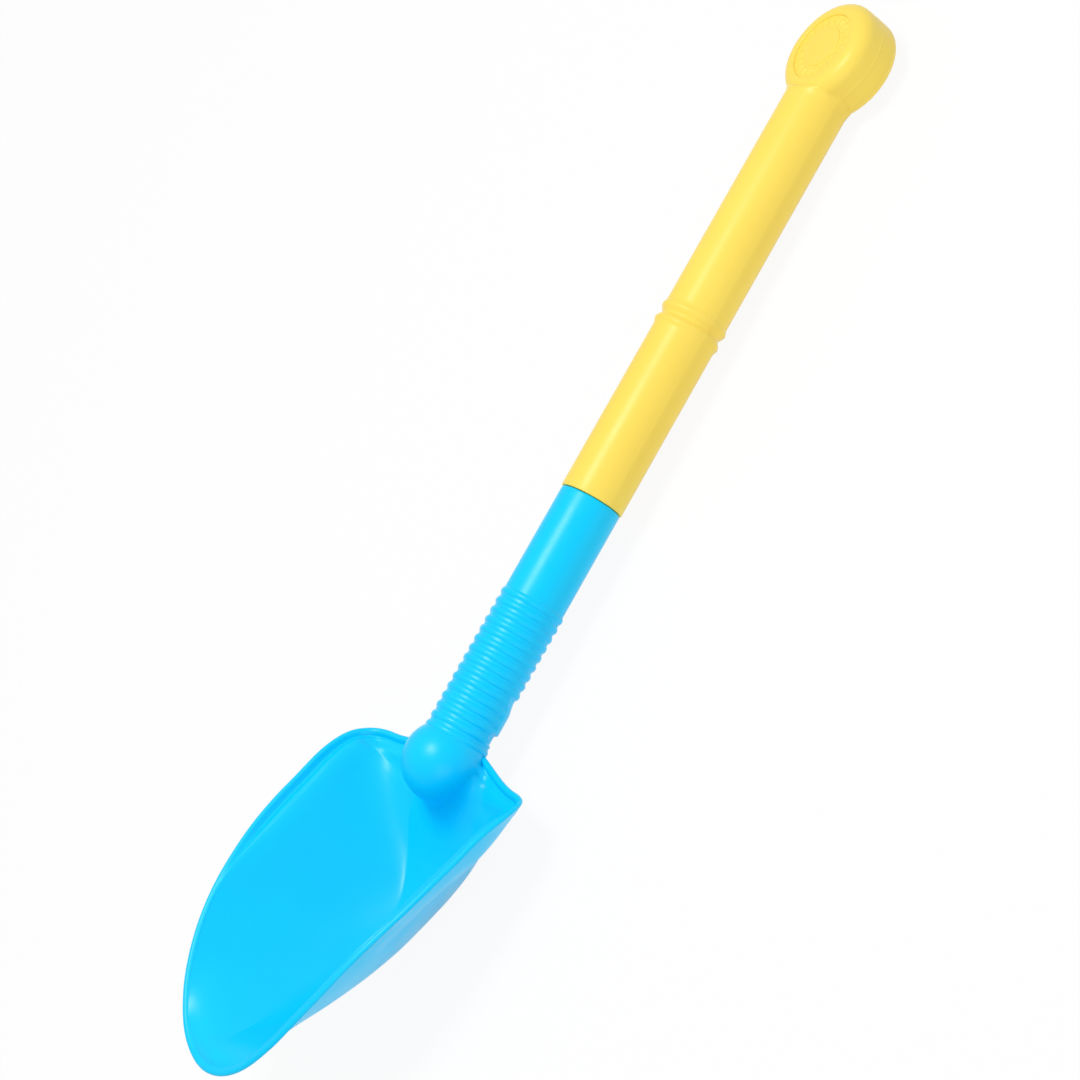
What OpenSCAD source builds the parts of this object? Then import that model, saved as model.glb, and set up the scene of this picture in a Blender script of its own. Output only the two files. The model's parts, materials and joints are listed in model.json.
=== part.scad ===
// Long-handled sand shovel for children: a moulded scoop whose neck ends in a round socket,
// and a hollow handle with a round knob whose spigot is pushed into that socket and can turn.

/* [Pan] */
// Length of the pan from its neck end to its tip
pan_l = 174.5; // [140:0.5:220]
// Width of the pan across its rims
pan_w = 124.6; // [90:0.2:160]
// Height of the rim above the axis of the handle
rim_rise = 37; // [20:0.5:50]
// Depth of the floor below the axis of the handle
floor_drop = 25.5; // [22:0.5:36]
// Thickness of the wall of the pan
pan_wall = 2.4; // [1.6:0.1:3.6]
// Width of the ledge that lies inside the upturned lip
ledge_w = 6; // [3:0.5:10]
// Height of the upturned lip above its ledge
lip_h = 3; // [1:0.1:5]
// Thickness of the lip and of the plain front edge
lip_t = 2.4; // [1.6:0.1:3.2]

/* [Neck] */
// Outer diameter of the smooth socket
socket_d = 28.9; // [27.8:0.1:34]
// Diameter of the bore that takes the spigot
bore_d = 24.8; // [20:0.1:25.4]
// Length of the smooth socket, up to the first rib
socket_l = 51; // [47:0.5:80]
// Bevel on the outer edge of the mouth of the socket
mouth_bevel = 0.7; // [0.2:0.1:1.2]
// Number of ribs round the neck
rib_count = 15; // [12:1:18]
// Distance from one rib to the next
rib_pitch = 4.76; // [4:0.02:6]
// Diameter over the tops of the ribs
rib_d = 30.5; // [29.8:0.1:36]
// Diameter of the ball that closes the neck
dome_d = 36.8; // [36:0.2:46]
// Distance from the last rib to the centre of the ball
dome_gap = 9.5; // [8:0.5:13]
// Half angle of the smooth pad on the back of the ribs
pad_angle = 75; // [40:5:85]

/* [Handle] */
// Distance from the mouth of the socket to the centre of the knob
handle_l = 230; // [150:1:330]
// Diameter of the handle's tube
tube_d = 30; // [29.6:0.1:36]
// Thickness of the handle's wall
handle_wall = 2; // [1.4:0.1:3]
// Length of the spigot inside the socket
spigot_l = 45; // [25:1:46]
// Clearance between the spigot and its bore, on the radius
fit_gap = 0.05; // [0.02:0.01:0.1]
// Gap between the shoulder of the handle and the mouth of the socket
seat_gap = 0.3; // [0.2:0.05:0.6]
// Distance from the mouth of the socket to the middle of the double bead
bead_y = 90; // [50:1:120]
// Distance between the two beads
bead_pitch = 7; // [6:0.1:9]
// Diameter over the beads
bead_d = 31.7; // [31:0.1:38]
// Diameter at the bottom of the groove between the beads
groove_d = 28.4; // [28:0.1:29.4]

/* [Knob] */
// Diameter of the knob
knob_d = 50.8; // [42:0.2:64]
// Thickness of the knob between its flat faces
knob_t = 26; // [20:0.5:30]
// Radius of the rounded edges of the knob
knob_round = 7; // [4:0.5:8]
// Diameter of the dish in the front face
dish_d = 34.2; // [28:0.2:36]
// Depth of the dish
dish_depth = 1.2; // [0.6:0.1:1.6]
// Diameter of the low disc in the middle of the dish
boss_d = 20.6; // [12:0.2:24]
// Height of that disc above the bottom of the dish
boss_h = 0.7; // [0.3:0.1:1.1]

/* [Pose] */
// Turn of the handle in its socket, in degrees
handle_turn = -8; // [-180:1:180]

/* [Hidden] */
overrun = 1;
round_fn = 96;
rim_steps = 34;
floor_steps = 10;

// Neck
bore_r = bore_d / 2;
rib_zone = rib_count * rib_pitch;
neck_end = -(socket_l + rib_zone);
rib_r = rib_pitch / 2;
dome_y = neck_end - dome_gap;
pad_first_rib_share = 8.2 / 15;
pad_last_rib_share = 12.3 / 15;
notch_last_rib_share = 13.1 / 15;
notch_depth_share = 0.4;
// How far the pan reaches under the last rib, as a share of the pitch
pan_lap_share = 0.3;
pan_y = neck_end + rib_pitch * pan_lap_share;

// Stations along the rim, from the neck round the corner to the tip. Each row holds the
// rim's x, as a share of half the width, the rim's y, as a share of the length, the rim's
// height, as a share of the rise, the place on the centre line that the station looks at,
// as a share of the length, the flat part of the floor, as a share of the way to the rim,
// the power of the wall's curve, and how much of the ledge and lip is there.
rim_shares = [
    [0.22, 0, -0.15, 0, 0.3, 1.2, 0.3],
    [0.38, 0.02, -0.16, 0.023, 0.42, 1.2, 0.45],
    [0.52, 0.036, -0.15, 0.046, 0.5, 1.2, 0.5],
    [0.66, 0.046, -0.12, 0.07, 0.55, 1.25, 0.5],
    [0.78, 0.05, -0.08, 0.092, 0.57, 1.4, 0.5],
    [0.87, 0.058, -0.03, 0.115, 0.57, 1.8, 0.52],
    [0.935, 0.073, 0.05, 0.14, 0.56, 3, 0.6],
    [0.98, 0.097, 0.16, 0.17, 0.545, 3.9, 0.75],
    [1, 0.135, 0.28, 0.205, 0.51, 3.5, 0.92],
    [1, 0.19, 0.41, 0.255, 0.45, 2.6, 1],
    [0.995, 0.265, 0.53, 0.315, 0.35, 1.74, 1],
    [0.985, 0.35, 0.67, 0.38, 0.24, 1.42, 1],
    [0.96, 0.435, 0.79, 0.45, 0.13, 1.55, 0.85],
    [0.91, 0.525, 0.895, 0.525, 0.06, 1.73, 0.4],
    [0.848, 0.614, 0.97, 0.6, 0.02, 1.89, 0.05],
    [0.774, 0.701, 1, 0.67, 0, 1.95, 0],
    [0.678, 0.785, 0.998, 0.735, 0, 2, 0],
    [0.559, 0.866, 0.962, 0.79, 0, 1.9, 0],
    [0.395, 0.939, 0.911, 0.835, 0, 1.6, 0],
    [0.205, 0.984, 0.873, 0.865, 0, 1.35, 0],
    [0, 1, 0.865, 0.875, 0, 1.25, 0],
];
// Softness of the crease between the floor and the walls, as a share of the half width
crease_soft_share = 0.06;
// Straight part of the rise beyond that crease, as a share of the crease's own share
kink_share = 0.9;
// Height of the skin under the ledge and its step inwards, as shares of the ledge's own
skirt_share = 0.75;
skirt_inset_share = 0.33;
// Bevels on the lip's top edges and the lip's thickness at its root and at the start of
// the ledge, as shares of its thickness at the top
lip_bevel_share = 0.2;
lip_root_share = 1.08;
ledge_start_share = 1.12;
// Least distance of the skin from the middle, as a share of the inside's own
skin_least_share = 0.6;
// Height of the floor's centre line at even steps along the pan, as shares of the depth
floor_shares = [-0.2, -0.4, -0.66, -0.92, -1, -0.82, -0.45, -0.01, 0.52, 1.06, 1.6];

last_station = len(rim_shares) - 1;
before_tip = rim_shares[last_station - 1];
rim_rows = concat(rim_shares, [[for (j = [0 : len(before_tip) - 1]) j == 0 ? -before_tip[j] : before_tip[j]]]);
nudge = 0.01;

// Handle
spigot_r = bore_r - fit_gap;
tube_r = tube_d / 2;
// Radius of each bead and of the groove between them, as shares of their pitch
bead_round_share = 1 / 3;
groove_round_share = 2 / 7;
// Bevels on the spigot's end and on the shoulder, as shares of the wall
spigot_bevel_share = 0.5;
shoulder_bevel_share = 0.3;
// Wall left under the groove and beside the dish, as shares of the handle's wall
groove_wall_share = 0.6;
dish_wall_share = 1.6;
// Width of the dish's sloping side, as a share of its depth
dish_slope_share = 1.2;
// Part of the tube's round end that the first bevel takes
tube_cut_share = 0.3;
bead_r = bead_pitch * bead_round_share;
groove_r = bead_pitch * groove_round_share;
spigot_bevel = handle_wall * spigot_bevel_share;
shoulder_bevel = handle_wall * shoulder_bevel_share;
knob_r = knob_d / 2;
knob_core_r = knob_r - knob_round;
dish_slope = dish_depth * dish_slope_share;
tube_end = handle_l - sqrt(knob_r * knob_r - tube_r * tube_r);
tube_round = max(tube_r - knob_t / 2, shoulder_bevel) + handle_wall;
tube_cut = tube_round * tube_cut_share;
tube_bore_r = groove_d / 2 - handle_wall * groove_wall_share;
knob_bore_r = knob_t / 2 - dish_depth - handle_wall * dish_wall_share;

// Pose on the ground, resting on the belly of the pan and on the back of the knob
tip_y = pan_y - pan_l;
knob_low = knob_round + (knob_t / 2 - knob_round) * cos(handle_turn)
    + knob_core_r * abs(sin(handle_turn));
// Place of the belly's lowest point, as a share of the pan's length
deep_y_share = 0.385;
deep_y = pan_y - pan_l * deep_y_share;
belly_low = floor_drop + pan_wall;
rest_tilt = atan((belly_low - knob_low) / (handle_l - deep_y));
belly_z = [for (i = [0 : rim_steps]) let (p = belly_point(i))
    p[2] * cos(rest_tilt) - p[1] * sin(rest_tilt)];
rest_z = -min(belly_z);
tip_z = rim_rise * rim_shares[last_station][2];
front_y = tip_y * cos(rest_tilt) + tip_z * sin(rest_tilt);
rear_y = handle_l * cos(rest_tilt) + knob_r;
rest_y = -(front_y + rear_y) / 2;

function spline(p, x) =
    let (i = max(0, min(floor(x), len(p) - 2)), f = x - i,
         a = p[max(i - 1, 0)], b = p[i], c = p[i + 1], d = p[min(i + 2, len(p) - 1)])
    (b * 2 + (c - a) * f + (a * 2 - b * 5 + c * 4 - d) * f * f
        + (b * 3 - c * 3 + d - a) * f * f * f) / 2;

function row(i) = spline(rim_rows, i * last_station / rim_steps);
function rim(i) = let (r = row(i))
    [r[0] * pan_w / 2, pan_y - r[1] * pan_l, r[2] * rim_rise];
function inward(i) = let (
        d = rim(i + nudge) - rim(max(i - nudge, 0)),
        l = norm([d[0], d[1]]))
    [d[1] / l, -d[0] / l, 0];
function floor_z(y) = spline(floor_shares, (pan_y - y) / pan_l * (len(floor_shares) - 1)) * floor_drop;
function ledge(i) = max(0, min(1, row(i)[6]));
function foot(i) = let (
        g = ledge(i),
        p = rim(i) + inward(i) * (lip_t * ledge_start_share + ledge_w * g)
            - [0, 0, lip_t * lip_bevel_share + lip_h * g])
    [max(p[0], 0), p[1], p[2]];
// Nearly flat before the crease of the floor, and a straight rise after it
function hinge(u) = u + sqrt(u * u + crease_soft_share * crease_soft_share);
function inside(i, u) = let (
        r = row(i),
        f = foot(i),
        c = pan_y - r[3] * pan_l,
        y = c + (f[1] - c) * u,
        v = (hinge(u - r[4]) - hinge(-r[4])) / (hinge(1 - r[4]) - hinge(-r[4])),
        kink = r[4] * kink_share,
        w = v * kink + pow(v, r[5]) * (1 - kink))
    [f[0] * u, y, floor_z(y) * (1 - w) + f[2] * w];
function out_of(i, u) = let (
        a = inside(max(i - nudge, 0), u),
        b = inside(i + nudge, u),
        c = inside(i, max(u - nudge, 0)),
        d = inside(i, min(u + nudge, 1)),
        n = cross(b - a, d - c))
    n[2] > 0 ? -n / norm(n) : n / norm(n);
function outside(i, u) = let (p = inside(i, u), n = out_of(i, u), q = p + n * pan_wall)
    u == 0 || i == rim_steps ? [0, q[1], q[2]] : [max(q[0], p[0] * skin_least_share), q[1], q[2]];
function belly_point(i) = outside(i, 0);

// One station: from the centre line up the inside, over the lip, and back down the outside
function station(i) = let (
        r = rim(i),
        n = inward(i),
        g = ledge(i),
        bevel = lip_t * lip_bevel_share,
        drop = bevel + lip_h * g,
        skirt = bevel + (lip_h * g + pan_wall) * skirt_share)
    concat(
        [for (j = [0 : floor_steps]) inside(i, j / floor_steps)],
        [r + n * lip_t * lip_root_share - [0, 0, drop]],
        [r + n * (lip_t - bevel), r + n * bevel],
        [r - [0, 0, bevel], r + n * ledge_w * skirt_inset_share * g - [0, 0, skirt]],
        [for (j = [floor_steps : -1 : 0]) outside(i, j / floor_steps)]);

module along_axis() rotate([-90, 0, 0]) children();

module at_rest() translate([0, rest_y, rest_z]) rotate([-rest_tilt, 0, 0]) children();

module pan() {
    rings = [for (i = [0 : rim_steps]) station(i)];
    n = len(rings[0]);
    right = [for (ring = rings, p = ring) p];
    left = [for (i = [0 : rim_steps - 1], j = [1 : n - 2]) let (p = rings[i][j]) [-p[0], p[1], p[2]]];
    points = concat(right, left);
    function id(side, i, j) =
        side > 0 || j == 0 || j == n - 1 || i == rim_steps ? i * n + j : len(right) + i * (n - 2) + j - 1;
    sheet = [for (side = [1, -1], i = [0 : rim_steps - 1], j = [0 : n - 2])
        let (a = id(side, i, j), b = id(side, i, j + 1), c = id(side, i + 1, j + 1), d = id(side, i + 1, j))
        each j < n / 2
            ? (side > 0 ? [[a, b, d], [b, c, d]] : [[d, b, a], [d, c, b]])
            : (side > 0 ? [[a, b, c], [a, c, d]] : [[c, b, a], [d, c, a]])];
    end = [for (side = [1, -1], j = [0 : floor(n / 2) - 1])
        let (a = id(side, 0, j), b = id(side, 0, j + 1), c = id(side, 0, n - 2 - j), d = id(side, 0, n - 1 - j))
        each concat(
            side > 0 ? [[b, a, d]] : [[d, a, b]],
            b == c ? [] : side > 0 ? [[b, d, c]] : [[c, d, b]])];
    polyhedron(points, concat(sheet, end));
}

module neck_profile() {
    socket_r = socket_d / 2;
    polygon([[0, neck_end - overrun], [socket_r, neck_end - overrun], [socket_r, -mouth_bevel],
        [socket_r - mouth_bevel, 0], [0, 0]]);
    for (i = [0 : rib_count - 1])
        translate([rib_d / 2 - rib_r, -socket_l - rib_pitch * (i + 0.5)]) circle(r = rib_r, $fn = round_fn);
}

// The part of the neck's back that lies within the pad's angle
module back_half(first_share, last_share) {
    first = -socket_l - rib_zone * first_share;
    last = -socket_l - rib_zone * last_share;
    translate([-rib_d, last, -rib_d - rib_d / 2 * cos(pad_angle)])
        cube([rib_d * 2, first - last, rib_d]);
}

module scoop() {
    color("deepskyblue") at_rest() difference() {
        union() {
            difference() {
                along_axis() rotate_extrude($fn = round_fn) neck_profile();
                intersection() {
                    back_half(pad_last_rib_share, notch_last_rib_share);
                    along_axis() rotate_extrude($fn = round_fn)
                        translate([rib_d / 2 - (rib_d / 2 - bore_r) * notch_depth_share, neck_end])
                            square([rib_d, rib_zone]);
                }
            }
            intersection() {
                back_half(pad_first_rib_share, pad_last_rib_share);
                along_axis() translate([0, 0, neck_end]) cylinder(d = rib_d, h = rib_zone, $fn = round_fn);
            }
            translate([0, dome_y, 0]) sphere(d = dome_d, $fn = round_fn);
            pan();
        }
        along_axis() translate([0, 0, dome_y]) cylinder(r = bore_r, h = overrun - dome_y, $fn = round_fn);
        translate([0, dome_y, 0]) sphere(r = bore_r, $fn = round_fn);
    }
}

module tube_profile() {
    difference() {
        union() {
            polygon([[0, -spigot_l], [spigot_r - spigot_bevel, -spigot_l], [spigot_r, -spigot_l + spigot_bevel],
                [spigot_r, seat_gap], [tube_r - shoulder_bevel, seat_gap], [tube_r, seat_gap + shoulder_bevel],
                [tube_r, tube_end - tube_round], [tube_r - tube_cut, tube_end - tube_cut],
                [tube_r - tube_round, tube_end], [0, tube_end]]);
            for (side = [-1, 1])
                translate([bead_d / 2 - bead_r, bead_y + side * bead_pitch / 2])
                    circle(r = bead_r, $fn = round_fn);
        }
        translate([groove_d / 2 + groove_r, bead_y]) circle(r = groove_r, $fn = round_fn);
    }
}

module knob_profile() {
    flat_half = knob_t / 2 - knob_round;
    translate([0, -knob_t / 2]) square([knob_core_r, knob_t]);
    translate([0, -flat_half]) square([knob_r, flat_half * 2]);
    for (side = [-1, 1])
        translate([knob_core_r, side * flat_half]) circle(r = knob_round, $fn = round_fn);
}

module dish_profile() {
    polygon([[boss_d / 2, 0], [boss_d / 2, -boss_h], [0, -boss_h], [0, dish_depth], [dish_d / 2, dish_depth],
        [dish_d / 2 - dish_slope, 0]]);
}

module handle() {
    color("gold") at_rest() rotate([0, handle_turn, 0]) difference() {
        union() {
            along_axis() rotate_extrude($fn = round_fn) tube_profile();
            translate([0, handle_l, 0]) rotate_extrude($fn = round_fn) knob_profile();
        }
        along_axis() translate([0, 0, -spigot_l - overrun])
            cylinder(r = spigot_r - handle_wall, h = spigot_l + overrun + seat_gap + handle_wall, $fn = round_fn);
        along_axis() translate([0, 0, seat_gap + handle_wall])
            cylinder(r = tube_bore_r, h = handle_l - knob_r - seat_gap - handle_wall, $fn = round_fn);
        along_axis() translate([0, 0, handle_l - knob_r - overrun])
            cylinder(r = knob_bore_r, h = knob_r + overrun, $fn = round_fn);
        translate([0, handle_l, -knob_t / 2 + handle_wall])
            cylinder(r = knob_core_r, h = knob_t - handle_wall * 2 - dish_depth, $fn = round_fn);
        translate([0, handle_l, knob_t / 2 - dish_depth]) rotate_extrude($fn = round_fn) dish_profile();
    }
}

scoop();
handle();
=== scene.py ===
import bpy
import json
import math
import numpy as np
from mathutils import Matrix, Vector


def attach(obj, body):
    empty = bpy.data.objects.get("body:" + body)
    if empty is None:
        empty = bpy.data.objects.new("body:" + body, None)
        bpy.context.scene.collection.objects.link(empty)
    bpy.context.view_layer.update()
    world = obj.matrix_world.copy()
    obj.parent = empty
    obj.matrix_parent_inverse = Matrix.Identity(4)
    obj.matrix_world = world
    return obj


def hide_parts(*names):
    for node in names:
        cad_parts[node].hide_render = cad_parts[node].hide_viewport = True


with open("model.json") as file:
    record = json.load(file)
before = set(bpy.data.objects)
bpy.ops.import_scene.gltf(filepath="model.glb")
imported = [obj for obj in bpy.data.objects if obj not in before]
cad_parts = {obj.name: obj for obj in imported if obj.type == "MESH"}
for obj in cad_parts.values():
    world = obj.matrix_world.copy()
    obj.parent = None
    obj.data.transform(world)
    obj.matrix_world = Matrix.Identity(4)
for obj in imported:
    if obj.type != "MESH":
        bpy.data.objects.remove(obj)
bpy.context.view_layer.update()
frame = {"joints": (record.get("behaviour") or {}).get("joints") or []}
print("frame loaded")

# The handle's axis is the line that both pieces are modelled on: y runs from the pan to
# the knob, z out of the hollow of the pan, and y = 0 is where the two colours meet.
joint = frame["joints"][0]
axisOrigin = Vector(joint["pos_m"])
axisY = Vector(joint["axis"]).normalized()
axisX = Vector((1, 0, 0))
axisZ = axisX.cross(axisY)
restPose = Matrix.Translation(axisOrigin) @ Matrix((axisX, axisY, axisZ)).transposed().to_4x4()

pan = {
    "start": -0.12097,  # y of the pan's neck end
    "length": 0.1745,
    "halfWidth": 0.0623,
    "rimRise": 0.037,
    "floorDrop": 0.0255,
    "wall": 0.0024,
    "ledge": 0.006,
    "lipHeight": 0.0028,
    "lipThick": 0.0030,
    "creaseSoft": 0.012,  # share of the way to the rim
    "creaseDraw": 0.62,  # how far the ball draws the crease towards itself
    "creaseDrawRows": (5, 9.5),  # stations between which that draw fades
    "rearSoft": 0.075,  # how much softer the crease gets beside the ball
    "rearSoftRows": (5, 9),
    "kink": 0.9,  # straight part of the wall's rise, as a share of the crease
    "stations": 210,
    "topLoops": (22, 40),  # on the floor and on the wall
    "undersideLoops": (10, 22),
    "leastFlat": 0.15,  # least share of the floor's loops
    "floorCrowding": 1.4,  # how closely the loops crowd round the crease
    "wallCrowding": 1.3,
    "skinLeast": 0.6,  # least distance of the underside from the middle, as a share
    "ledgeStart": 1.12,  # in thicknesses of the lip, as the next three
    "lipRoot": 1.25,
    "lipBevel": 0.2,
    "faceDrop": 0.6,
    "faceInset": 0.0001,
    "edgeLean": 50,  # degrees by which the round of a plain edge starts lower
    "lipSteps": 11,
    "rollStart": 0.9,  # where the wall begins to roll over into the ledge, as a share
    "flattenStart": 0.55,
    "rollReach": 0.4,  # share of the ledge that the roll takes
    "rollSteps": 11,
    "coveReach": 0.3,
    "coveRise": 0.6,
    "coveSteps": 9,
    "flankStart": 0.8,  # where the underside begins to run out to the lip
    "flankEnd": 0.8,  # share of the way to the lip, which a last bend closes
    "flankBlend": 0.5,
    "flankBow": 0.0011,
    "underSteps": 6,
    "cornerRow": 7.2,
    "cornerFade": (1.6, 3.0),  # stations before and after the corner
    "cornerFlank": 0.18,  # how much lower the flank begins at the corner
    "cornerBow": 0.0011,
    "grooveDepth": 0.0014,  # between the ledge and the lip
    "ballFillet": 0.020,  # between the floor and the ball
    "filletDepth": 0.95,  # most that the fillet takes of the ball's height over the floor
    "filletRoom": 0.8,  # and of the room between the ball and the ledge
    "leastFillet": 0.004,
    "leastDepth": 0.002,  # least height of the ball's axis over the floor
    "leastLevel": 0.2,  # steepest floor that the fillet follows, as its normal's height
    "ballCover": 0.0001,  # how far the pan's surface lies outside the neck's ball
    "ballSide": 0.94,  # share of the radius at which the ball's side runs on straight
    "sideSlope": 2.8,
    "bellyBlend": 0.006,  # between the underside and the ball
}
# From the neck round the corner to the tip: x, y and height of the rim, the place on the
# centre line, the flat part of the floor, the power of the wall and the amount of lip
panRimShares = [
    (0.22, 0, -0.15, 0, 0.3, 1.2, 0.3),
    (0.38, 0.02, -0.16, 0.023, 0.42, 1.2, 0.45),
    (0.52, 0.036, -0.15, 0.046, 0.5, 1.2, 0.5),
    (0.66, 0.046, -0.12, 0.07, 0.55, 1.25, 0.5),
    (0.78, 0.05, -0.08, 0.092, 0.57, 1.4, 0.5),
    (0.87, 0.058, -0.03, 0.115, 0.57, 1.8, 0.52),
    (0.935, 0.073, 0.05, 0.14, 0.56, 3, 0.6),
    (0.98, 0.097, 0.16, 0.17, 0.545, 3.9, 0.75),
    (1, 0.135, 0.28, 0.205, 0.51, 3.5, 0.92),
    (1, 0.19, 0.41, 0.255, 0.45, 2.6, 1),
    (0.995, 0.265, 0.53, 0.315, 0.35, 1.74, 1),
    (0.985, 0.35, 0.67, 0.38, 0.24, 1.42, 1),
    (0.96, 0.435, 0.79, 0.45, 0.13, 1.55, 0.85),
    (0.91, 0.525, 0.895, 0.525, 0.06, 1.73, 0.4),
    (0.848, 0.614, 0.97, 0.6, 0.02, 1.89, 0.05),
    (0.774, 0.701, 1, 0.67, 0, 1.95, 0),
    (0.678, 0.785, 0.998, 0.735, 0, 2, 0),
    (0.559, 0.866, 0.962, 0.79, 0, 1.9, 0),
    (0.395, 0.939, 0.911, 0.835, 0, 1.6, 0),
    (0.205, 0.984, 0.873, 0.865, 0, 1.35, 0),
    (0, 1, 0.865, 0.875, 0, 1.25, 0),
]
panFloorShares = [-0.2, -0.4, -0.66, -0.92, -1, -0.82, -0.45, -0.01, 0.52, 1.06, 1.6]

neck = {
    "socketRadius": 0.01445,
    "boreRadius": 0.0124,
    "socketLength": 0.051,
    "mouthRound": 0.0009,
    "ribs": 15,
    "ribPitch": 0.00476,
    "ribRadius": 0.01525,
    "ballRadius": 0.0184,
    "ballGap": 0.0095,
    "ballSteps": 40,
    "ribSteps": 11,
    "lastRibSteps": 60,
    "lastRibSkip": 5,  # only each fifth of these is kept
    "mouthSteps": 7,
    "endSteps": 16,
    "steps": 144,
    "cutPast": 0.002,
    "skinDepth": 0.0005,
    "padShares": (8.9 / 15, 12.6 / 15),
    "padEdge": 0.12,  # in pitches of the ribs, as the next one
    "padRise": 1.8,
    "padSlope": 0.0012,  # how far the pad's first end lies below the tops of the ribs
    "notchShare": 13.7 / 15,
    "padAngles": (68, 76),  # from the back, where the pad's sides begin and end
    "notchRadius": 0.0138,
}
ribZone = neck["ribs"] * neck["ribPitch"]
ribEnd = neck["socketLength"] + ribZone
ballY = -(ribEnd + neck["ballGap"])

handle = {
    "turn": -8,  # degrees
    "length": 0.230,
    "radius": 0.015,
    "wall": 0.002,
    "spigotRadius": 0.01235,
    "spigotLength": 0.045,
    "seatGap": 0.00018,
    "beadY": 0.090,
    "beadPitch": 0.007,
    "beadRadius": 0.01585,
    "grooveRadius": 0.0142,
    "beadWidth": 0.24,  # in pitches of the beads, as the next one
    "grooveWidth": 0.2,
    "beadZone": 0.0075,
    "beadMargin": 0.01,
    "beadSteps": 61,
    "tubeSteps": (10, 14, 36),  # below the beads, above them and where the tube flares
    "plainEnd": 0.022,  # from the tube's end, as the next three
    "flareZone": (0.0215, 0.0036),
    "flareStart": 0.02,
    "sideZone": (0.010, 0.004),
    "sideReach": 0.006,  # how far the tube's sides run on into the knob
    "skinDepth": 0.0012,
    "skinSoft": 0.0002,
    "mouthLoop": 0.002,
    "edgeRound": 0.0005,
    "edgeSteps": 5,
    "endRound": 0.0034,
    "endSteps": 10,
    "capLoops": (0.001, 0.003, 0.006),
    "seamHeight": 0.00012,
    "steps": 160,
}

knob = {
    "radius": 0.0254,
    "thick": 0.026,
    "edgeRound": 0.007,
    "dishRadius": 0.0171,
    "dishDepth": 0.0012,
    "bossRadius": 0.0103,
    "bossHeight": 0.0007,
    "backLoops": (0.3, 0.9, 4),
    "edgeSteps": 18,
    "dishEdge": 0.0007,
    "dishShift": 0.0004,
    "dishFoot": ((0.0005, 0.0001), (0.0011, 0)),  # from the dish's edge and up
    "ringLoops": (0.0016, 0.0009, 12),
    "bossFoot": (0.0005, 0.0001),
    "bossEdge": 0.0005,
    "bossCrown": ((0.6, 0.00008), (0.3, 0.00012), (0, 0.00014)),  # radius share, fall
    "smallSteps": 5,
    "seamZone": 0.0012,
    "seamWidth": 0.0004,
    "seamSteps": 9,
    "ribs": 20,
    "ringInside": (0.001, 0.002),  # where the ribs of the ring rise, from the boss
    "ringOutside": (0.0022, 0.0013),  # and fall, from the dish's edge
    "floorBand": 0.0002,
    "steps": 192,
    "neckBlend": 0.003,
}

mergeGap = 1e-6
tiny = 1e-12
smoothAngle = 40


def startPiece(name):
    bpy.ops.object.select_all(action="DESELECT")
    bpy.ops.mesh.primitive_plane_add(size=0.001, location=(0, 0, 0))
    piece = bpy.context.object
    piece.name = name
    return piece


def selectOnly(piece):
    bpy.ops.object.select_all(action="DESELECT")
    piece.select_set(True)
    bpy.context.view_layer.objects.active = piece


def spinProfile(name, profile, axis, steps):
    # one vertex is drawn along the profile and the line is spun into a closed shell
    piece = startPiece(name)
    bpy.ops.object.mode_set(mode="EDIT")
    bpy.ops.mesh.select_mode(type="VERT")
    bpy.ops.mesh.merge(type="CENTER")
    points = [Vector(p) for p in profile]
    bpy.ops.transform.translate(value=points[0])
    for before, after in zip(points, points[1:]):
        bpy.ops.mesh.extrude_region_move(TRANSFORM_OT_translate={"value": after - before})
    bpy.ops.mesh.select_all(action="SELECT")
    bpy.ops.mesh.spin(steps=steps, angle=math.tau, center=(0, 0, 0), axis=axis)
    bpy.ops.mesh.select_all(action="SELECT")
    bpy.ops.mesh.remove_doubles(threshold=mergeGap)
    bpy.ops.mesh.normals_make_consistent(inside=False)
    bpy.ops.object.mode_set(mode="OBJECT")
    return piece


def readPoints(piece):
    points = np.empty(len(piece.data.vertices) * 3)
    piece.data.vertices.foreach_get("co", points)
    return points.reshape(-1, 3)


def writePoints(piece, points):
    piece.data.vertices.foreach_set("co", points.ravel())
    piece.data.update()


def joinSolids(piece, other, operation="UNION"):
    selectOnly(piece)
    cut = piece.modifiers.new("join", "BOOLEAN")
    cut.operation = operation
    cut.solver = "EXACT"
    cut.object = other
    bpy.ops.object.modifier_apply(modifier=cut.name)
    bpy.data.objects.remove(other)


def finishPiece(piece, pose):
    piece.data.transform(pose)
    selectOnly(piece)
    bpy.ops.object.shade_smooth_by_angle(angle=math.radians(smoothAngle))


def arc(centre, radius, start, end, count):
    angles = np.radians(np.linspace(start, end, count))
    return [(centre[0] + radius * math.cos(a), centre[1] + radius * math.sin(a)) for a in angles]


def smoothStep(low, high, value):
    t = np.clip((value - low) / (high - low), 0, 1)
    return t * t * (3 - 2 * t)


def spline(table, place):
    # Catmull-Rom curve through the rows of the table
    table = np.asarray(table, float)
    count = len(table)
    i = np.clip(np.floor(place).astype(int), 0, count - 2)
    f = place - i
    if table.ndim == 2:
        f = f[..., None]
    a = table[np.maximum(i - 1, 0)]
    b = table[i]
    c = table[i + 1]
    d = table[np.minimum(i + 2, count - 1)]
    square = (2 * a - 5 * b + 4 * c - d) * f**2
    cube = (3 * b - 3 * c + d - a) * f**3
    return (2 * b + (c - a) * f + square + cube) / 2


# Pan: one grid, folded into the right half of a closed shell, then mirrored
rimTable = np.array(panRimShares)
rimTable = np.vstack([rimTable, rimTable[-2] * [-1, 1, 1, 1, 1, 1, 1]])
lastRow = len(panRimShares) - 1


def rimAt(place):
    row = spline(rimTable, place)
    point = np.stack([
        row[:, 0] * pan["halfWidth"],
        pan["start"] - row[:, 1] * pan["length"],
        row[:, 2] * pan["rimRise"],
    ], -1)
    return row, point


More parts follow.
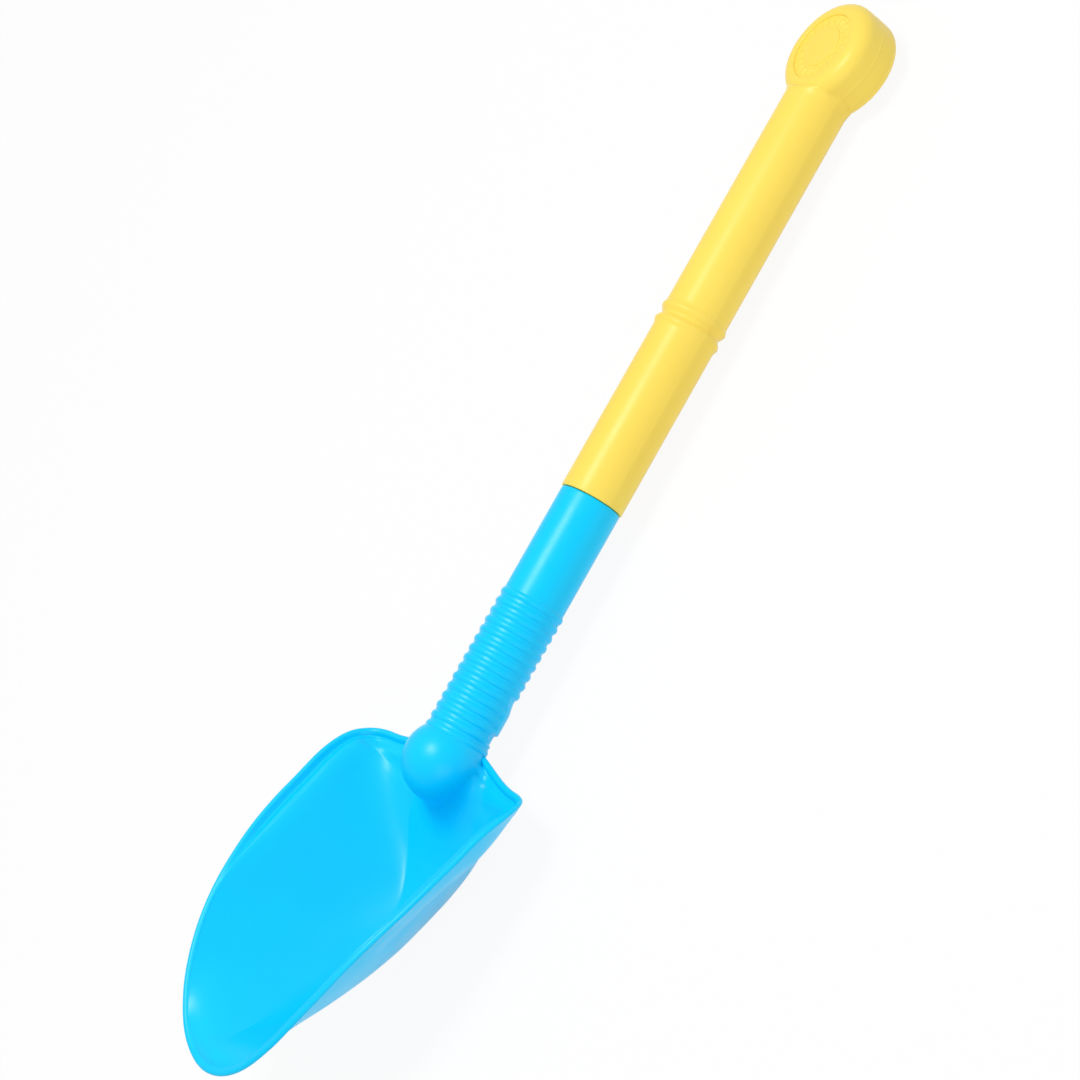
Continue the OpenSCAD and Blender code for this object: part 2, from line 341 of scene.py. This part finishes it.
def floorHeight(y):
    place = (pan["start"] - y) / pan["length"] * (len(panFloorShares) - 1)
    return spline(panFloorShares, place) * pan["floorDrop"]


def hinge(value, soft):
    return value + np.sqrt(value**2 + soft**2)


def panStations(place):
    row, rim = rimAt(place)
    step = 1e-3
    ahead = rimAt(np.minimum(place + step, lastRow + 0.5))[1]
    behind = rimAt(np.maximum(place - step, 0))[1]
    run = (ahead - behind)[:, :2]
    run /= np.linalg.norm(run, axis=1)[:, None]
    inward = np.stack([run[:, 1], -run[:, 0], np.zeros(len(run))], -1)
    lip = np.clip(row[:, 6], 0, 1)
    thick = pan["lipThick"]
    foot = rim + inward * (thick * pan["ledgeStart"] + pan["ledge"] * lip)[:, None]
    foot[:, 2] -= thick * pan["lipBevel"] + pan["lipHeight"] * lip
    foot[:, 0] = np.maximum(foot[:, 0], 0)
    return row, rim, inward, lip, foot


def panInside(place, u, draw=0.0):
    # u runs from 0 on the centre line to 1 at the inner edge of the ledge
    row, *_, foot = panStations(place)
    u = np.broadcast_to(u, (len(place), np.shape(u)[-1]))
    centre = (pan["start"] - row[:, 3] * pan["length"])[:, None]
    crease = drawnCrease(row, place, draw)
    y = centre + (foot[:, 1:2] - centre) * u
    nearBall = (1 - smoothStep(*pan["rearSoftRows"], place))[:, None]
    soft = pan["creaseSoft"] + pan["rearSoft"] * nearBall
    flat = hinge(-crease, soft)
    rise = (hinge(u - crease, soft) - flat) / (hinge(1 - crease, soft) - flat)
    rise = np.maximum(rise, 0)
    kink = crease * pan["kink"]
    rise = rise * kink + rise ** row[:, 5:6] * (1 - kink)
    z = floorHeight(y) * (1 - rise) + foot[:, 2:3] * rise
    return np.stack([foot[:, 0:1] * u, y, z], -1)


def drawnCrease(row, place, draw):
    nearBall = (1 - smoothStep(*pan["creaseDrawRows"], place))[:, None]
    return row[:, 4:5] * (1 - draw * nearBall)


def panNormals(place, u, draw=0.0):
    step = 1e-3
    behind = panInside(np.maximum(place - step, 0), u, draw)
    alongRim = panInside(place + step, u, draw) - behind
    towardsMiddle = panInside(place, np.maximum(u - step, 0), draw)
    across = panInside(place, np.minimum(u + step, 1), draw) - towardsMiddle
    normal = np.cross(alongRim, across)
    normal /= np.linalg.norm(normal, axis=2)[..., None] + tiny
    return normal * np.where(normal[..., 2:3] < 0, -1, 1)


def bend(before, corner, after, count):
    # round corner between two straight stretches
    t = np.linspace(0, 1, count)[None, :, None]
    ends = before[:, None] * (1 - t) ** 2, after[:, None] * t**2
    return ends[0] + corner[:, None] * 2 * t * (1 - t) + ends[1]


def acrossShares(crease, floorSteps, wallSteps, end):
    # the loops follow the crease, where they lie closest
    crease = np.maximum(crease, pan["leastFlat"])
    fromCrease = (1 - np.linspace(0, 1, floorSteps)) ** pan["floorCrowding"]
    upTheWall = np.linspace(0, 1, wallSteps + 1)[1:] ** pan["wallCrowding"]
    return np.concatenate([crease * (1 - fromCrease), crease + (end - crease) * upTheWall], axis=1)


def panLoops():
    place = np.linspace(0, lastRow, pan["stations"] + 1)
    row, rim, inward, lip, foot = panStations(place)
    thick = pan["lipThick"]
    up = np.array([0, 0, 1.0])
    lip3 = lip[:, None]
    draw = pan["creaseDraw"]
    u = acrossShares(drawnCrease(row, place, draw), *pan["topLoops"], pan["rollStart"])
    inside = panInside(place, u, draw)
    flatter = smoothStep(pan["flattenStart"], pan["rollStart"], u)[..., None]
    normals = panNormals(place, u, draw)
    normals += (up - normals) * flatter
    below = acrossShares(row[:, 4:5], *pan["undersideLoops"], 1)
    shell = panInside(place, below)
    outside = shell - panNormals(place, below) * pan["wall"]
    outside[..., 0] = np.maximum(outside[..., 0], shell[..., 0] * pan["skinLeast"])
    outside[-1, :, 0] = 0
    outside = coverBall(outside)
    outside[:, 0, 0] = 0
    lipFoot = rim + inward * thick * pan["lipRoot"]
    lipFoot[:, 2] = foot[:, 2]
    arcCentre = rim + inward * thick / 2 - up * thick / 2
    firstAngle = (1 - lip) * math.radians(pan["edgeLean"])
    sweep = (math.pi - firstAngle)[:, None] * np.linspace(0, 1, pan["lipSteps"])
    turn = (firstAngle[:, None] + sweep)[..., None]
    top = (arcCentre[:, None] + inward[:, None] * np.cos(turn) * thick / 2
           + up * np.sin(turn) * thick / 2)
    # the wall rolls over into the ledge, and the ledge rises in a cove to the lip
    ledgeRun = lipFoot - foot
    rollEnd = foot + ledgeRun * pan["rollReach"]
    roll = bend(inside[:, -1], foot, rollEnd, pan["rollSteps"])[:, 1:]
    ledgeEnd = lipFoot - ledgeRun * pan["coveReach"]
    groove = lipFoot - up * pan["grooveDepth"] * lip3
    coveEnd = lipFoot + (top[:, 0] - lipFoot) * pan["coveRise"]
    coveSteps = pan["coveSteps"]
    cove = bend(ledgeEnd, groove, coveEnd, coveSteps)
    inner = np.concatenate([inside, roll, cove], axis=1)
    steady = np.broadcast_to(up, roll.shape), np.broadcast_to(up, cove.shape)
    hold = np.concatenate([np.ones(inner.shape[1] - coveSteps), np.linspace(1, 0, coveSteps)])
    room = np.linalg.norm(foot[:, :2] - [0, ballY], axis=1)[:, None] - neck["ballRadius"]
    inner = climbBall(inner, np.concatenate([normals, *steady], axis=1), hold, room)
    # where there is a lip, the underside runs from its outer edge to the belly in a flat bow
    lipFace = rim + inward * pan["faceInset"] - up * thick * pan["faceDrop"]
    fromCorner = place - pan["cornerRow"]
    corner = np.exp(-((fromCorner / np.where(fromCorner < 0, *pan["cornerFade"])) ** 2))[:, None]
    flankStart = pan["flankStart"] - pan["cornerFlank"] * corner
    belly = panInside(place, flankStart) - panNormals(place, flankStart) * pan["wall"]
    along = np.clip((below - flankStart) / (1 - flankStart), 0, 1)[..., None] * pan["flankEnd"]
    bowDepth = (pan["flankBow"] + pan["cornerBow"] * corner)[..., None]
    bow = (-inward - up)[:, None] * bowDepth * np.sin(along * math.pi)
    flank = belly + (lipFace[:, None] - belly) * along + bow
    outside += (flank - outside) * smoothStep(0, pan["flankBlend"], along) * lip3[..., None]
    underCorner = (lipFace * 2 + outside[:, -1]) / 3
    under = bend(lipFace, underCorner, outside[:, -1], pan["underSteps"])
    skin = outside[:, ::-1][:, 1:]
    loops = np.concatenate([inner, top, under, skin], axis=1)
    loops[-1, :, 0] = 0
    return loops


def unitRows(vectors):
    return vectors / (np.linalg.norm(vectors, axis=-1, keepdims=True) + tiny)


def climbBall(points, normals, hold, room):
    # Floor points near the ball slide up along a line of fillet, upright side and ball
    radius = neck["ballRadius"] + pan["ballCover"]
    offset = points[..., :2] - [0, ballY]
    reach = np.linalg.norm(offset, axis=-1)
    heading = offset / np.maximum(reach, tiny)[..., None]
    level = np.maximum(normals[..., 2], pan["leastLevel"])
    slope = -np.sum(normals[..., :2] * heading, -1) / level
    depth = np.maximum(-(points[..., 2] + slope * (radius - reach)), pan["leastDepth"])
    # a smooth least value of the three sizes that the fillet may have
    mostRoom = np.maximum(room * pan["filletRoom"], pan["leastFillet"])
    sizes = pan["ballFillet"], depth * pan["filletDepth"], mostRoom
    curve = sum(size ** -3 for size in sizes) ** (-1 / 3)
    side = depth - curve
    cap = radius * math.pi / 2
    share = reach / (radius + curve)
    along = share * (cap + side + curve * math.pi / 2)
    onCap = np.clip(along, 0, cap) / radius
    onCurve = np.clip((along - cap - side) / curve, 0, math.pi / 2)
    out = radius * np.sin(onCap) + curve * (1 - np.cos(onCurve))
    high = radius * np.cos(onCap) - np.clip(along - cap, 0, side)
    low = points[..., 2] + slope * (out - reach) + curve * (1 - np.sin(onCurve))
    height = np.where(along > cap + side, low, high)
    moved = np.concatenate([[0, ballY] + heading * out[..., None], height[..., None]], -1)
    return points + (moved - points) * (hold * (share < 1))[..., None]


def coverBall(points):
    # the underside bulges round the ball, whose side runs on straight
    radius = neck["ballRadius"] + pan["ballCover"]
    reach = np.linalg.norm(points[..., :2] - [0, ballY], axis=-1)
    edge = pan["ballSide"] * radius
    cap = np.sqrt(np.maximum(radius**2 - reach**2, 0))
    side = math.sqrt(radius**2 - edge**2) - (reach - edge) * pan["sideSlope"]
    ball = np.where(reach < edge, cap, side)
    depth = -points[..., 2]
    blend = pan["bellyBlend"]
    share = np.maximum(blend - np.abs(ball - depth), 0)
    covered = points.copy()
    covered[..., 2] = -(np.maximum(ball, depth) + share**2 / (4 * blend))
    return covered


def fillet(start, normals, distance, size):
    # moves a surface's points up onto a round blend with a neighbour, in a few rounds
    rounds = 12
    leastSlope = 0.2
    points = start.copy()
    near = np.abs(distance(start)[0]) < size
    for _ in range(rounds):
        a = np.sum((points - start) * normals, -1)
        b, away = distance(points)
        share = np.maximum(size - np.abs(a - b), 0) / size
        value = np.minimum(a, b) - share**2 * size / 4
        toOwn = np.where(a < b, 1 - share / 2, share / 2)[..., None]
        slope = normals * toOwn + away * (1 - toOwn)
        move = slope * (value / np.maximum(np.sum(slope**2, -1), leastSlope))[..., None]
        points -= move * near[..., None]
    return points


def makePan():
    loops = panLoops()
    rows, columns = loops.shape[:2]
    bpy.ops.object.select_all(action="DESELECT")
    bpy.ops.mesh.primitive_grid_add(x_subdivisions=rows - 1, y_subdivisions=columns - 1, size=2)
    piece = bpy.context.object
    piece.name = "panShell"
    flat = readPoints(piece)
    i = np.rint((flat[:, 0] + 1) / 2 * (rows - 1)).astype(int)
    j = np.rint((flat[:, 1] + 1) / 2 * (columns - 1)).astype(int)
    writePoints(piece, loops[i, j])
    mirror = piece.modifiers.new("otherHalf", "MIRROR")
    mirror.use_axis = (True, False, False)
    mirror.use_clip = True
    mirror.merge_threshold = mergeGap
    bpy.ops.object.modifier_apply(modifier=mirror.name)
    bpy.ops.object.mode_set(mode="EDIT")
    bpy.ops.mesh.select_all(action="SELECT")
    bpy.ops.mesh.remove_doubles(threshold=mergeGap)
    bpy.ops.mesh.select_all(action="DESELECT")
    bpy.ops.mesh.select_mode(type="EDGE")
    bpy.ops.mesh.select_non_manifold()
    bpy.ops.mesh.fill()
    bpy.ops.mesh.select_all(action="SELECT")
    bpy.ops.mesh.normals_make_consistent(inside=False)
    bpy.ops.object.mode_set(mode="OBJECT")
    return piece


# Neck: ball, ribs, socket and bore in one spun profile
def neckProfile():
    centre = (0, ballY)
    ribR = neck["ribPitch"] / 2
    ribCentre = neck["ribRadius"] - ribR
    reach = math.sqrt(ribR**2 - (neck["socketRadius"] - ribCentre) ** 2)
    half = math.degrees(math.atan2(reach, neck["socketRadius"] - ribCentre))
    # the rib next to the ball starts where it comes out of the ball
    lastRib = arc((ribCentre, ribR - ribEnd), ribR, -half, half, neck["lastRibSteps"])
    lastRib = [(r, y) for r, y in lastRib if math.hypot(r, y - ballY) > neck["ballRadius"]]
    startAngle = math.degrees(math.atan2(lastRib[0][1] - ballY, lastRib[0][0]))
    outer = arc(centre, neck["ballRadius"], -90, startAngle, neck["ballSteps"])[:-1]
    outer += lastRib[::neck["lastRibSkip"]] + lastRib[-1:]
    for i in range(1, neck["ribs"]):
        middle = -ribEnd + neck["ribPitch"] * (i + 0.5)
        outer += arc((ribCentre, middle), ribR, -half, half, neck["ribSteps"])
    edge = neck["mouthRound"]
    outer.append((neck["socketRadius"], -neck["socketLength"] / 2))
    outer += arc((neck["socketRadius"] - edge, -edge), edge, 0, 90, neck["mouthSteps"])
    bore = neck["boreRadius"]
    outer += arc((bore + edge / 2, -edge / 2), edge / 2, 90, 180, neck["mouthSteps"] - 2)
    outer.append((bore, -neck["socketLength"]))
    outer += arc(centre, bore, 0, -90, neck["endSteps"])
    return [(0 if abs(r) < mergeGap / 10 else abs(r), y, 0) for r, y in outer]


def makeNeck():
    piece = spinProfile("neckShell", neckProfile(), (0, 1, 0), neck["steps"])
    points = readPoints(piece)
    radius = np.hypot(points[:, 0], points[:, 2])
    fromBack = np.degrees(np.arctan2(np.abs(points[:, 0]), -points[:, 2]))
    top, bottom = (-neck["socketLength"] - ribZone * s for s in neck["padShares"])
    notch = -neck["socketLength"] - ribZone * neck["notchShare"]
    soft = neck["ribPitch"] * neck["padEdge"]
    y = points[:, 1]
    pastNotch = smoothStep(notch - soft, notch + soft, y)
    pastBottom = smoothStep(bottom - soft, bottom + soft, y)
    pastTop = smoothStep(top - soft, top + soft, y)
    rise = smoothStep(0, neck["ribPitch"] * neck["padRise"], top - y)
    padRadius = neck["ribRadius"] - neck["padSlope"] * (1 - rise)
    angleShare = 1 - smoothStep(*neck["padAngles"], fromBack)
    target = radius + (padRadius - radius) * pastBottom * (1 - pastTop) * angleShare
    target += (neck["notchRadius"] - target) * pastNotch * (1 - pastBottom) * angleShare
    outerSide = radius > neck["boreRadius"] + neck["skinDepth"]
    factor = np.where(outerSide, target / np.maximum(radius, mergeGap), 1)
    points[:, 0] *= factor
    points[:, 2] *= factor
    writePoints(piece, points)
    return piece


def makeBoreCutter():
    bore = neck["boreRadius"]
    past = neck["cutPast"]
    end = arc((0, ballY), bore, 0, -90, neck["endSteps"])
    end[-1] = (0, end[-1][1])
    profile = [(r, y, 0) for r, y in [(0, past), (bore, past)] + end]
    return spinProfile("boreCutter", profile, (0, 1, 0), neck["steps"])


def makeScoop():
    scoop = makePan()
    print("pan", len(scoop.data.vertices))
    joinSolids(scoop, makeBoreCutter(), "DIFFERENCE")
    neckPiece = makeNeck()
    print("neck", len(neckPiece.data.vertices))
    joinSolids(scoop, neckPiece)
    scoop.name = "scoopBody"
    finishPiece(scoop, restPose)
    return scoop


# Handle: spigot, tube and beads spun round the axis, knob spun round its own
tubeEnd = handle["length"] - math.sqrt(knob["radius"] ** 2 - handle["radius"] ** 2)


def handleProfile():
    r = handle["radius"]
    inner = handle["spigotRadius"]
    wall = handle["wall"]
    gap = handle["seatGap"]
    edge = handle["edgeRound"]
    bottom = -handle["spigotLength"]
    cavity = handle["length"] - knob["radius"]
    margin = handle["beadMargin"]
    beadY = handle["beadY"]
    below, above, flare = handle["tubeSteps"]
    profile = [(0, cavity), (r - wall, cavity), (r - wall, gap + wall)]
    profile += [(inner - wall, gap), (inner - wall, bottom)]
    profile += arc((inner - edge, bottom + edge), edge, -90, 0, handle["edgeSteps"])
    profile += [(inner, -handle["mouthLoop"]), (inner, gap)]
    profile += arc((r - edge, gap + edge), edge, -90, 0, handle["edgeSteps"])
    profile += [(r, y) for y in np.linspace(margin, beadY - margin, below)]
    for y in np.linspace(-handle["beadZone"], handle["beadZone"], handle["beadSteps"]):
        profile.append((beadRadiusAt(y), beadY + y))
    profile += [(r, y) for y in np.linspace(beadY + margin, tubeEnd - handle["plainEnd"], above)]
    flareStart, flareEnd = (tubeEnd - distance for distance in handle["flareZone"])
    profile += [(r, y) for y in np.linspace(flareStart, flareEnd, flare)]
    end = handle["endRound"]
    profile += arc((r - end, tubeEnd - end), end, 0, 90, handle["endSteps"])
    profile += [(r - end - step, tubeEnd) for step in handle["capLoops"]] + [(0, tubeEnd)]
    return [(p[0], p[1], 0) for p in profile]


def beadRadiusAt(y):
    # two round beads with a groove between them
    r = handle["radius"]
    pitch = handle["beadPitch"]
    width = pitch * handle["beadWidth"]
    bead = sum(math.exp(-(((y - side * pitch / 2) / width) ** 2)) for side in (-1, 1))
    groove = math.exp(-((y / (pitch * handle["grooveWidth"])) ** 2))
    return r + (handle["beadRadius"] - r) * bead - (r - handle["grooveRadius"]) * groove


def makeTube():
    piece = spinProfile("tubeShell", handleProfile(), (0, 1, 0), handle["steps"])
    points = readPoints(piece)
    radius = np.hypot(points[:, 0], points[:, 2])
    skin = handle["radius"] - handle["skinDepth"]
    outer = (radius > skin) & (points[:, 1] > 0)
    # mould line along both sides
    width = handle["radius"] * math.tau / handle["steps"]
    seam = np.exp(-((points[:, 2] / width) ** 2)) * handle["seamHeight"] * outer
    # the tube runs on into the knob at its sides and ends round above the knob's faces
    sideways = (points[:, 0] / np.maximum(radius, mergeGap)) ** 2
    zoneStart, zoneEnd = (tubeEnd - distance for distance in handle["sideZone"])
    points[:, 1] += handle["sideReach"] * sideways * smoothStep(zoneStart, zoneEnd, points[:, 1])
    flared = fillet(points, unitRows(points * [1, 0, 1]), knobDistance, knob["neckBlend"])
    straight = smoothStep(skin, handle["radius"] - handle["skinSoft"], radius)
    straight = straight * (points[:, 1] > tubeEnd - handle["flareStart"])
    points = points + (flared - points) * straight[:, None]
    points[:, 0] += np.sign(points[:, 0]) * seam
    writePoints(piece, points)
    return piece


def knobDistance(points):
    # distance and direction from a disc with round edges
    local = points - [0, handle["length"], 0]
    flat = local * [1, 1, 0]
    reach = np.linalg.norm(flat, axis=-1)
    core = knob["radius"] - knob["edgeRound"]
    half = knob["thick"] / 2 - knob["edgeRound"]
    outward = reach - core
    upward = np.abs(local[..., 2]) - half
    inside = np.minimum(np.maximum(outward, upward), 0)
    distance = np.hypot(np.maximum(outward, 0), np.maximum(upward, 0)) + inside - knob["edgeRound"]
    sideways = unitRows(flat) * np.maximum(outward, mergeGap)[..., None]
    lengthways = np.sign(local[..., 2:3]) * np.maximum(upward, 0)[..., None] * [0, 0, 1]
    return distance, unitRows(sideways + lengthways)


def knobProfile():
    half = knob["thick"] / 2
    edge = knob["edgeRound"]
    core = knob["radius"] - edge
    dish = knob["dishRadius"]
    boss = knob["bossRadius"]
    low = half - knob["dishDepth"]
    crown = low + knob["bossHeight"]
    first, last, count = knob["backLoops"]
    profile = [(0, -half)] + [(x, -half) for x in np.linspace(core * first, core * last, count)]
    profile += arc((core, -half + edge), edge, -90, 0, knob["edgeSteps"])
    profile += knobSeam()
    profile += arc((core, half - edge), edge, 0, 90, knob["edgeSteps"])
    small = knob["dishEdge"]
    shift = knob["dishShift"]
    profile += arc((dish + shift, half - small), small, 90, 180, knob["smallSteps"])
    profile += [(dish - inward, low + up) for inward, up in knob["dishFoot"]]
    first, last, count = knob["ringLoops"]
    profile += [(x, low) for x in np.linspace(dish - first, boss + last, count)]
    profile.append((boss + knob["bossFoot"][0], low + knob["bossFoot"][1]))
    small = knob["bossEdge"]
    profile += arc((boss - small, crown - small), small, 0, 90, knob["smallSteps"])
    profile += [(boss * share, crown - fall) for share, fall in knob["bossCrown"]]
    return [(p[0], 0, p[1]) for p in profile]


def knobSeam():
    heights = np.linspace(-knob["seamZone"], knob["seamZone"], knob["seamSteps"])
    bulge = handle["seamHeight"] * np.exp(-((heights / knob["seamWidth"]) ** 2))
    return list(zip(knob["radius"] + bulge, heights))


def makeKnob():
    piece = spinProfile("knobShell", knobProfile(), (0, 0, 1), knob["steps"])
    points = readPoints(piece)
    radius = np.hypot(points[:, 0], points[:, 1])
    angle = np.arctan2(points[:, 1], points[:, 0])
    low = knob["thick"] / 2 - knob["dishDepth"]
    inRing = smoothStep(*(knob["bossRadius"] + step for step in knob["ringInside"]), radius)
    inRing *= 1 - smoothStep(*(knob["dishRadius"] - step for step in knob["ringOutside"]), radius)
    onFloor = np.abs(points[:, 2] - low) < knob["floorBand"]
    ridge = (0.5 + 0.5 * np.cos(angle * knob["ribs"])) ** 2
    points[:, 2] += ridge * inRing * onFloor * knob["bossHeight"]
    points[:, 1] += handle["length"]
    writePoints(piece, points)
    return piece


def makeHandle():
    piece = makeTube()
    print("tube", len(piece.data.vertices))
    joinSolids(piece, makeKnob())
    piece.name = "handleBody"
    turn = Matrix.Rotation(math.radians(handle["turn"]), 4, "Y")
    finishPiece(piece, restPose @ turn)
    print("handle", len(piece.data.vertices))
    return piece


# Moulded plastic: faint flow marks, a fine skin and a few light scuffs
moulding = {
    "flow": {"Scale": 16, "Detail": 3},
    "flowRange": {"From Min": 0.35, "From Max": 0.75},
    "scuff": {"Scale": 55, "Detail": 8, "Roughness": 0.7},
    "scuffRange": {"From Min": 0.4, "From Max": 0.8, "To Min": -0.03, "To Max": 0.09},
    "grain": {"Scale": 900, "Detail": 2},
    "grainBump": {"Distance": 0.0001},
    "surface": {"IOR": 1.49, "Specular IOR Level": 0.24},
}
blue = {
    "colour": (0.0, 0.63, 1.0),
    "shade": (0.0, 0.60, 1.0),  # in the flow marks
    "roughness": 0.34,
    "skin": 0.12,  # strength of the fine grain
}
yellow = {
    "colour": (0.97, 0.74, 0.12),
    "shade": (0.95, 0.71, 0.11),
    "roughness": 0.35,
    "skin": 0.12,
}


def setInputs(node, values):
    for name, value in values.items():
        node.inputs[name].default_value = value
    return node


def plasticSkin():
    group = bpy.data.node_groups.new("mouldedSkin", "ShaderNodeTree")
    face = group.interface
    sockets = {"Colour": "Color", "Shade": "Color", "Roughness": "Float", "Skin": "Float"}
    for name, kind in sockets.items():
        socket = face.new_socket(name=name, in_out="INPUT", socket_type="NodeSocket" + kind)
        socket.hide_in_modifier = True
    for name, kind in {"Colour": "Color", "Roughness": "Float", "Normal": "Vector"}.items():
        face.new_socket(name=name, in_out="OUTPUT", socket_type="NodeSocket" + kind)
    nodes, links = group.nodes, group.links
    given = nodes.new("NodeGroupInput")
    put = nodes.new("NodeGroupOutput")
    where = nodes.new("ShaderNodeTexCoord")
    flow = setInputs(nodes.new("ShaderNodeTexNoise"), moulding["flow"])
    flowRange = setInputs(nodes.new("ShaderNodeMapRange"), moulding["flowRange"])
    mix = nodes.new("ShaderNodeMix")
    mix.data_type = "RGBA"
    links.new(where.outputs["Object"], flow.inputs["Vector"])
    links.new(flow.outputs["Fac"], flowRange.inputs["Value"])
    links.new(flowRange.outputs["Result"], mix.inputs["Factor"])
    links.new(given.outputs["Colour"], mix.inputs["A"])
    links.new(given.outputs["Shade"], mix.inputs["B"])
    links.new(mix.outputs["Result"], put.inputs["Colour"])
    scuff = setInputs(nodes.new("ShaderNodeTexNoise"), moulding["scuff"])
    scuffRange = setInputs(nodes.new("ShaderNodeMapRange"), moulding["scuffRange"])
    add = nodes.new("ShaderNodeMath")
    add.operation = "ADD"
    links.new(where.outputs["Object"], scuff.inputs["Vector"])
    links.new(scuff.outputs["Fac"], scuffRange.inputs["Value"])
    links.new(scuffRange.outputs["Result"], add.inputs[0])
    links.new(given.outputs["Roughness"], add.inputs[1])
    links.new(add.outputs["Value"], put.inputs["Roughness"])
    grain = setInputs(nodes.new("ShaderNodeTexNoise"), moulding["grain"])
    bump = setInputs(nodes.new("ShaderNodeBump"), moulding["grainBump"])
    links.new(where.outputs["Object"], grain.inputs["Vector"])
    links.new(grain.outputs["Fac"], bump.inputs["Height"])
    links.new(given.outputs["Skin"], bump.inputs["Strength"])
    links.new(bump.outputs["Normal"], put.inputs["Normal"])
    return group


skinGroup = plasticSkin()


def makePlastic(name, look):
    material = bpy.data.materials.new(name)
    material.use_nodes = True
    nodes, links = material.node_tree.nodes, material.node_tree.links
    shader = setInputs(nodes["Principled BSDF"], moulding["surface"])
    group = nodes.new("ShaderNodeGroup")
    group.node_tree = skinGroup
    group.inputs["Colour"].default_value = (*look["colour"], 1)
    group.inputs["Shade"].default_value = (*look["shade"], 1)
    group.inputs["Roughness"].default_value = look["roughness"]
    group.inputs["Skin"].default_value = look["skin"]
    links.new(group.outputs["Colour"], shader.inputs["Base Color"])
    links.new(group.outputs["Roughness"], shader.inputs["Roughness"])
    links.new(group.outputs["Normal"], shader.inputs["Normal"])
    return material


def dress(piece, material, body, node):
    piece.data.materials.clear()
    piece.data.materials.append(material)
    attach(piece, body)
    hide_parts(node)


bluePlastic = makePlastic("bluePlastic", blue)
yellowPlastic = makePlastic("yellowPlastic", yellow)
scoopPiece = makeScoop()
dress(scoopPiece, bluePlastic, "scoop", "scoop")
print("scoop", len(scoopPiece.data.vertices))
handlePiece = makeHandle()
dress(handlePiece, yellowPlastic, "handle", "handle")

# Camera: where the photograph was taken from, in the frame of the handle's axis
view = {
    "place": (0.9844, -0.1884, 0.8260),
    "right": (0.6008, 0.4902, -0.6315),
    "up": (-0.2302, 0.8626, 0.4504),
    "lens": 98.2,
    "sensor": 36,
    "clip": (0.05, 50),
}
cameraData = bpy.data.cameras.new("camera")
camera = bpy.data.objects.new("camera", cameraData)
bpy.context.scene.collection.objects.link(camera)
cameraData.lens = view["lens"]
cameraData.sensor_width = view["sensor"]
cameraData.clip_start, cameraData.clip_end = view["clip"]
right = Vector(view["right"]).normalized()
back = right.cross(Vector(view["up"])).normalized()
up = back.cross(right)
look = Matrix((right, up, back)).transposed().to_4x4()
camera.matrix_world = restPose @ Matrix.Translation(view["place"]) @ look
bpy.context.scene.camera = camera
print("camera set")

# Floor and soft studio light
studio = {
    "floorSize": 12,
    "floorGap": 0.0003,
    "floorShade": 0.86,
    "floorRoughness": 0.9,
    "floorGlow": 0.92,  # share of plain white in what the camera sees of the floor
    "keyPower": 13,
    "keySize": 0.5,
    "keyPlace": (0.05, 0.25, 1.5),
    "fillPower": 5.5,
    "fillSize": 1.4,
    "fillPlace": (1.5, -0.9, 0.8),
    "world": 0.5,
}
bpy.ops.object.select_all(action="DESELECT")
bpy.ops.mesh.primitive_plane_add(size=studio["floorSize"], location=(0, 0, -studio["floorGap"]))
floor = bpy.context.object
floor.name = "floor"


def makeFloorMaterial():
    material = bpy.data.materials.new("paleFloor")
    material.use_nodes = True
    nodes, links = material.node_tree.nodes, material.node_tree.links
    shader = nodes["Principled BSDF"]
    shader.inputs["Base Color"].default_value = (*[studio["floorShade"]] * 3, 1)
    shader.inputs["Roughness"].default_value = studio["floorRoughness"]
    glow = nodes.new("ShaderNodeEmission")
    glow.inputs["Strength"].default_value = 1
    rays = nodes.new("ShaderNodeLightPath")
    seen = nodes.new("ShaderNodeMath")
    seen.operation = "MAXIMUM"
    amount = nodes.new("ShaderNodeMath")
    amount.operation = "MULTIPLY"
    amount.inputs[1].default_value = studio["floorGlow"]
    mix = nodes.new("ShaderNodeMixShader")
    links.new(rays.outputs["Is Camera Ray"], seen.inputs[0])
    links.new(rays.outputs["Is Glossy Ray"], seen.inputs[1])
    links.new(seen.outputs["Value"], amount.inputs[0])
    links.new(amount.outputs["Value"], mix.inputs["Fac"])
    links.new(shader.outputs["BSDF"], mix.inputs[1])
    links.new(glow.outputs["Emission"], mix.inputs[2])
    links.new(mix.outputs["Shader"], nodes["Material Output"].inputs["Surface"])
    return material


floor.data.materials.append(makeFloorMaterial())


def areaLight(name, power, size, place):
    data = bpy.data.lights.new(name, "AREA")
    data.shape = "DISK"
    data.size = size
    data.energy = power
    lamp = bpy.data.objects.new(name, data)
    bpy.context.scene.collection.objects.link(lamp)
    lamp.location = place
    lamp.rotation_euler = (-Vector(place)).to_track_quat("-Z", "Y").to_euler()


areaLight("keyLight", studio["keyPower"], studio["keySize"], studio["keyPlace"])
areaLight("fillLight", studio["fillPower"], studio["fillSize"], studio["fillPlace"])
world = bpy.data.worlds.new("studioWorld")
bpy.context.scene.world = world
world.use_nodes = True
background = world.node_tree.nodes["Background"]
background.inputs["Color"].default_value = (1, 1, 1, 1)
background.inputs["Strength"].default_value = studio["world"]
bpy.context.scene.view_settings.view_transform = "Standard"
print("studio lit")
